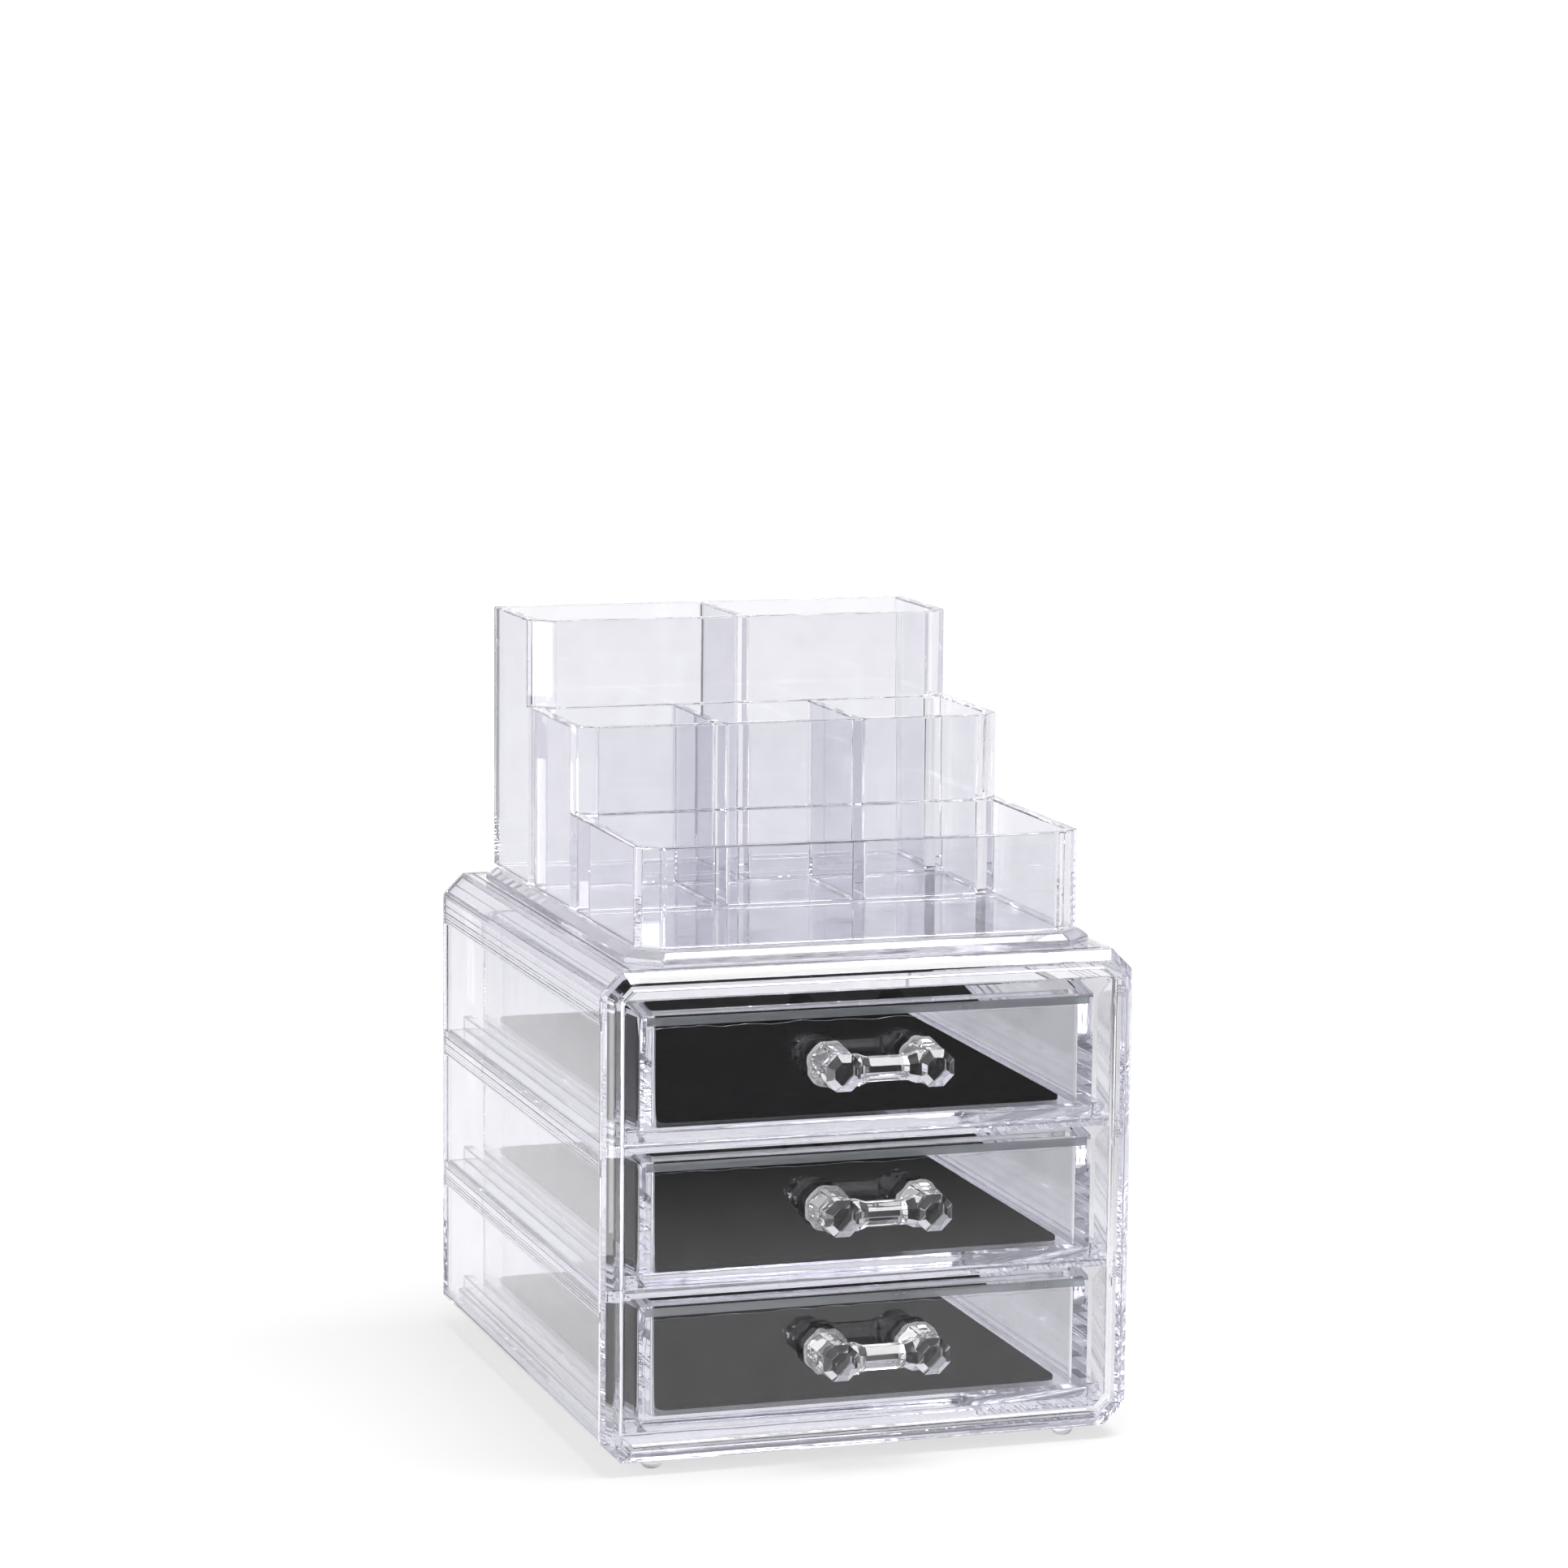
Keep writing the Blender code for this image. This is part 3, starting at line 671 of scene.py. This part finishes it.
for number, drawer in enumerate(DRAWERS):
    shape = merged_copy(drawer + "_handle")
    round_edges(shape, HANDLE_EDGE_ROUND, 1)
    handle = piece(drawer + "_handle_cut_acrylic", shape, acrylic)
    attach(handle, drawer)
    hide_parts(drawer + "_handle")

    low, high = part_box(drawer + "_handle")
    ring = bmesh.new()
    for side in (-1, 1):
        beads = []
        for step in range(RING_STEPS):
            turn = 2 * math.pi * step / RING_STEPS
            along = Vector((math.cos(turn), math.sin(turn)))
            # each ring has swellings of its own
            spot = (along.x * RING_LUMPS, along.y * RING_LUMPS, number * 5 + side)
            radius = RING_RADIUS + RING_SWELL * noise.noise(Vector(spot))
            # the octagon's own reach in this direction
            within = (turn + OCTANT / 2) % OCTANT - OCTANT / 2
            reach = POST_FOOT_REACH / math.cos(within) + radius * RING_OUT
            bead = bmesh.ops.create_circle(
                ring, cap_ends=False, radius=radius, segments=RING_SIDES
            )["verts"]
            centre = Vector((
                side * POST_SPACING / 2 + reach * along.x,
                high.y - radius * RING_UP,
                (low.z + high.z) / 2 + reach * along.y,
            ))
            turned = Matrix.Rotation(-turn, 4, "Y")
            bmesh.ops.transform(ring, matrix=Matrix.Translation(centre) @ turned, verts=bead)
            beads.append([ring.edges.get(pair) for pair in zip(bead, bead[1:] + bead[:1])])
        for here, there in zip(beads, beads[1:] + beads[:1]):
            bmesh.ops.bridge_loops(ring, edges=here + there)
    bmesh.ops.recalc_face_normals(ring, faces=ring.faces)
    cement = piece(drawer + "_handle_cement", ring, frosty_cement)
    cement.data.shade_smooth()
    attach(cement, drawer)

# Felt liners: black flocked felt, cut from the roll and laid loose on each drawer's floor.
# The cut edges are a little wavy and fuzzy, and the pile swallows nearly all light.
FELT_WIDTH = 0.1022
FELT_LENGTH = 0.1335
FELT_CORNER = 0.0025
FELT_COLUMNS = 102
FELT_ROWS = 133
FRAY_DEPTH = 0.00018
FRAY_WAVES_PER_METRE = 1100
SAG_DEPTH = 0.00008
SAG_WAVES_PER_METRE = 90
FIBRE_SPACING = 0.00035
FIBRE_DEPTH = 0.0001
TUFT_SPACING = 0.004
# Felt, flocked black: it swallows nearly all light, with only the faintest sheen along its pile
felt = bpy.data.materials.new("felt_black_flocked")
felt.use_nodes = True
felt_tree = felt.node_tree
felt_shader = felt_tree.nodes["Principled BSDF"]
felt_shader.inputs["Sheen Weight"].default_value = 0.008
felt_shader.inputs["Sheen Roughness"].default_value = 0.5
felt_shader.inputs["Specular IOR Level"].default_value = 0.0
felt_place = add(felt_tree, "TexCoord").outputs["Object"]
# pile fibres 0.35 mm apart, drawn coarser than real ones
fibres = add(
    felt_tree, "TexNoise", {"Scale": 1 / FIBRE_SPACING, "Detail": 3.0}, {"Vector": felt_place}
)
# tufts that lie one way or the other, 4 mm apart
tufts = add(
    felt_tree, "TexNoise", {"Scale": 1 / TUFT_SPACING, "Detail": 3.0}, {"Vector": felt_place}
)
felt_shade = add(
    felt_tree,
    "Math",
    {"operation": "MULTIPLY"},
    {0: fibres.outputs[0], 1: tufts.outputs[0]},
)
felt_depth = add(
    felt_tree, "MapRange", {"From Min": 0.12, "From Max": 0.42}, {"Value": felt_shade.outputs[0]}
)
felt_colour = add(
    felt_tree,
    "Mix",
    {"data_type": "RGBA", 6: linear("#050506"), 7: linear("#18181b")},
    {0: felt_depth.outputs[0]},
)
felt_tree.links.new(felt_colour.outputs[2], felt_shader.inputs["Base Color"])
felt_nap = add(
    felt_tree,
    "MapRange",
    {"To Min": 0.82, "To Max": 1.0},
    {"Value": tufts.outputs[0]},
)
felt_tree.links.new(felt_nap.outputs[0], felt_shader.inputs["Roughness"])
felt_bump = add(
    felt_tree, "Bump", {"Strength": 1.0, "Distance": FIBRE_DEPTH}, {"Height": fibres.outputs[0]}
)
felt_tree.links.new(felt_bump.outputs[0], felt_shader.inputs["Normal"])
for number, drawer in enumerate(DRAWERS):
    low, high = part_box(drawer + "_liner")
    sheet = bmesh.new()
    bmesh.ops.create_grid(sheet, x_segments=FELT_COLUMNS, y_segments=FELT_ROWS, size=0.5)
    half = Vector((FELT_WIDTH / 2, FELT_LENGTH / 2))
    middle = (low + high) / 2
    for vert in sheet.verts:
        x, y = vert.co.x * 2 * half.x, vert.co.y * 2 * half.y
        over_x = max(0, abs(x) - half.x + FELT_CORNER)
        over_y = max(0, abs(y) - half.y + FELT_CORNER)
        # a square corner drawn in to a round one
        if over_x > 0 and over_y > 0:
            most = max(over_x, over_y)
            shrink = most / math.hypot(over_x, over_y)
            x = math.copysign(half.x - FELT_CORNER + over_x * shrink, x)
            y = math.copysign(half.y - FELT_CORNER + over_y * shrink, y)
        at_edge = abs(vert.co.x) > 0.4999 or abs(vert.co.y) > 0.4999
        # each sheet is cut and lies in its own way
        spot = Vector((x * FRAY_WAVES_PER_METRE, y * FRAY_WAVES_PER_METRE, number * 11.0))
        if at_edge:
            x += FRAY_DEPTH * noise.noise(spot)
            y += FRAY_DEPTH * noise.noise(spot + Vector((5, 5, 5)))
        lie = Vector((x * SAG_WAVES_PER_METRE, y * SAG_WAVES_PER_METRE, number * 3.0))
        lift = SAG_DEPTH * noise.noise(lie)
        vert.co = Vector((middle.x + x, middle.y + y, high.z + min(0, lift)))
    for vert in push_out(sheet, sheet.faces[:], (0, 0, low.z - high.z)):
        vert.co.z = low.z
    bmesh.ops.recalc_face_normals(sheet, faces=sheet.faces)
    liner = piece(drawer + "_felt_sheet", sheet, felt)
    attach(liner, drawer)
    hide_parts(drawer + "_liner")

# Tray: one clear polystyrene moulding with three tiers of compartments, on a bevelled base plate.
# The rims are rounded, the front corners are cut, and the base has a skirt that overhangs.
# The two are cemented together, and the tray is only set down on the chest.
# Polystyrene, injection moulded: each wall looked through makes the grey a step deeper
tray_polystyrene = clear_moulding(
    "polystyrene_clear_tray_moulding",
    tint="#f9f9fc",
    depth_tint="#c5c4d7",
    ior=1.59,
    ripple_height=0.000006,
    handling=0.012,
    clarity=1.0,
    gloss=1.0,
)
TRAY_EDGE_ROUND = 0.00042
# The same plastic, scuffed by sliding on the chest, so the light inside it comes out even
scuffed_polystyrene = clear_moulding(
    "polystyrene_clear_tray_base_moulding_scuffed",
    tint="#f9f9fc",
    depth_tint="#c5c4d7",
    ior=1.59,
    ripple_height=0.00001,
    handling=0.3,
    clarity=1.0,
    gloss=1.0,
)
for name, surface in (("tray_walls", tray_polystyrene), ("tray_base", scuffed_polystyrene)):
    shape = merged_copy(name)
    round_edges(shape, TRAY_EDGE_ROUND, 2)
    moulding = piece(name + "_moulding", shape, surface)
    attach(moulding, "tray")
    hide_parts(name)

# Studio: a pale seamless paper that curves up far behind, in a tent of light.
# A softbox overhead and one at the left light it, with a low strip light for the left bevel, and
# the paper adds painted glow of its own.
SWEEP_WIDTH = 9.0
SWEEP_FRONT = -4.0
SWEEP_BACK = 1.9
SWEEP_RADIUS = 0.9
SWEEP_TOP = 2.6
SWEEP_STEPS = 16
floor_shape = bmesh.new()
line = [(SWEEP_FRONT, 0)]
line += [
    (
        SWEEP_BACK - SWEEP_RADIUS + SWEEP_RADIUS * math.sin(math.pi / 2 * step / SWEEP_STEPS),
        SWEEP_RADIUS - SWEEP_RADIUS * math.cos(math.pi / 2 * step / SWEEP_STEPS),
    )
    for step in range(SWEEP_STEPS + 1)
]
line.append((SWEEP_BACK, SWEEP_TOP))
floor_verts = [floor_shape.verts.new((-SWEEP_WIDTH / 2, y, z)) for y, z in line]
floor_edges = [floor_shape.edges.new(pair) for pair in zip(floor_verts, floor_verts[1:])]
extruded = bmesh.ops.extrude_edge_only(floor_shape, edges=floor_edges)
moved = [g for g in extruded["geom"] if isinstance(g, bmesh.types.BMVert)]
bmesh.ops.translate(floor_shape, vec=(SWEEP_WIDTH, 0, 0), verts=moved)
bmesh.ops.recalc_face_normals(floor_shape, faces=floor_shape.faces)


def fade(tree, value, start, end, low=0.0, high=1.0):
    """Adds a smooth change from low to high while a value goes from start to end."""
    return add(
        tree,
        "MapRange",
        {
            "From Min": start,
            "From Max": end,
            "To Min": low,
            "To Max": high,
            "interpolation_type": "SMOOTHSTEP",
        },
        {"Value": value},
    ).outputs[0]


# Paper, white and matt, with painted light: it glows by itself, and painted shade darkens it in
# front and greys it at the left, so the plastic has darks to mirror
FRONT_PAINTED_SHADE = (-0.42, -0.2)
SIDE_PAINTED_SHADE = (-0.42, -0.22)
SIDE_PAINTED_SHADE_SLANT = 0.16
BACK_GLOW = (0.2, 1.2)
paper = bpy.data.materials.new("studio_paper_painted_glow_and_shade")
paper.use_nodes = True
paper_tree = paper.node_tree
paper_shader = paper_tree.nodes["Principled BSDF"]
paper_shader.inputs["Roughness"].default_value = 0.95
paper_shader.inputs["Specular IOR Level"].default_value = 0.1
paper_place = add(paper_tree, "TexCoord").outputs["Object"]
paper_split = add(paper_tree, "SeparateXYZ", {}, {0: paper_place})
# painted glow: the paper shines by itself, faintly in front and fully from the chest back, more
# still far behind, which also washes out the chest's shadow
paper_near_painted_glow = fade(paper_tree, paper_split.outputs["Y"], *FRONT_PAINTED_SHADE, 0.07, 0.68)
paper_far_painted_glow = fade(paper_tree, paper_split.outputs["Y"], *BACK_GLOW, 0.0, 0.26)
paper_glow = add(paper_tree, "Math", {"operation": "ADD"}, {0: paper_near_painted_glow, 1: paper_far_painted_glow})
# the painted shade at the left follows the edge of the picture, and the side walls mirror its grey
paper_edge = add(
    paper_tree,
    "Math",
    {"operation": "MULTIPLY_ADD", 1: -SIDE_PAINTED_SHADE_SLANT},
    {0: paper_split.outputs["Y"], 2: paper_split.outputs["X"]},
)
paper_side_painted_shade = fade(paper_tree, paper_edge.outputs[0], *SIDE_PAINTED_SHADE)
# painted shade: the paper's glow turns lilac-grey at the left
paper_light = add(
    paper_tree,
    "Mix",
    {"data_type": "RGBA", 6: (0.6, 0.59, 0.655, 1), 7: (1.0, 1.0, 1.0, 1)},
    {0: paper_side_painted_shade},
)
paper_tree.links.new(paper_light.outputs[2], paper_shader.inputs["Emission Color"])
paper_tree.links.new(paper_glow.outputs[0], paper_shader.inputs["Emission Strength"])
# painted shade: the paper's own colour is darker in front too
paper_shade = fade(paper_tree, paper_split.outputs["Y"], *FRONT_PAINTED_SHADE)
paper_colour = add(
    paper_tree,
    "Mix",
    {"data_type": "RGBA", 6: (0.07, 0.07, 0.07, 1), 7: (0.2, 0.2, 0.201, 1)},
    {0: paper_shade},
)
paper_tree.links.new(paper_colour.outputs[2], paper_shader.inputs["Base Color"])
floor = piece("floor", floor_shape, paper)
floor.data.shade_smooth()

tent = bpy.data.worlds.new("light_tent")
scene.world = tent
tent.use_nodes = True
tent_tree = tent.node_tree
tent_background = tent_tree.nodes["Background"]
tent_way = add(tent_tree, "TexCoord").outputs["Generated"]
tent_split = add(tent_tree, "SeparateXYZ", {}, {0: tent_way})
# bright behind, darker in front, high up and past the sides
tent_depth = fade(tent_tree, tent_split.outputs["Y"], -0.8, 0.1, 0.3, 1.1)
tent_height = fade(tent_tree, tent_split.outputs["Z"], 0.3, 0.8, 1.0, 0.25)
tent_across = add(tent_tree, "Math", {"operation": "ABSOLUTE"}, {0: tent_split.outputs["X"]})
tent_flags = fade(tent_tree, tent_across.outputs[0], 0.55, 0.8, 1.0, 0.2)
tent_round = add(tent_tree, "Math", {"operation": "MULTIPLY"}, {0: tent_depth, 1: tent_flags})
tent_level = add(
    tent_tree,
    "Math",
    {"operation": "MULTIPLY"},
    {0: tent_round.outputs[0], 1: tent_height},
)
tent_tree.links.new(tent_level.outputs[0], tent_background.inputs["Strength"])
tent_background.inputs["Color"].default_value = (0.98, 0.975, 1.0, 1)


def softbox(name, place, aim, width, height, watts):
    """A soft rectangular light that faces a point."""
    light = bpy.data.lights.new(name, "AREA")
    light.energy = watts
    light.shape = "RECTANGLE"
    light.size = width
    light.size_y = height
    lamp = bpy.data.objects.new(name, light)
    scene.collection.objects.link(lamp)
    lamp.location = place
    lamp.rotation_mode = "QUATERNION"
    lamp.rotation_quaternion = (Vector(aim) - Vector(place)).to_track_quat("-Z", "Y")


softbox(
    "softbox_overhead",
    place=(0.25, -0.15, 1.2),
    aim=(0.25, -0.15, 0.0),
    width=0.95,
    height=0.55,
    watts=26,
)
softbox(
    "softbox_left",
    place=(-1.3, -0.35, 0.4),
    aim=(0, 0, 0.1),
    width=0.8,
    height=0.9,
    watts=13,
)
softbox(
    "strip_left",
    place=(-0.27, -0.16, 0.046),
    aim=(0, -0.07, 0.06),
    width=0.2,
    height=0.09,
    watts=0.22,
)

# light that runs inside the plastic bounces many times before it comes out
scene.view_settings.view_transform = "Standard"
scene.cycles.max_bounces = 80
scene.cycles.transmission_bounces = 80
scene.cycles.glossy_bounces = 80
scene.cycles.transparent_max_bounces = 16

# Camera: a long lens a little left of the middle, looking slightly down
CAMERA_PLACE = (-0.3828, -1.16345, 0.3318)
CAMERA_YAW = math.radians(18.218)
CAMERA_PITCH = math.radians(8.196)
CAMERA_ROLL = math.radians(0.530)
CAMERA_LENS = 112.7
CAMERA_SENSOR = 36
camera = bpy.data.cameras.new("camera")
camera.lens = CAMERA_LENS
camera.sensor_width = CAMERA_SENSOR
camera.clip_end = 30
camera_object = bpy.data.objects.new("camera", camera)
scene.collection.objects.link(camera_object)
camera_turn = (
    Matrix.Rotation(-CAMERA_YAW, 4, "Z")
    @ Matrix.Rotation(math.pi / 2 - CAMERA_PITCH, 4, "X")
    @ Matrix.Rotation(CAMERA_ROLL, 4, "Z")
)
camera_object.matrix_world = Matrix.Translation(Vector(CAMERA_PLACE)) @ camera_turn
scene.camera = camera_object
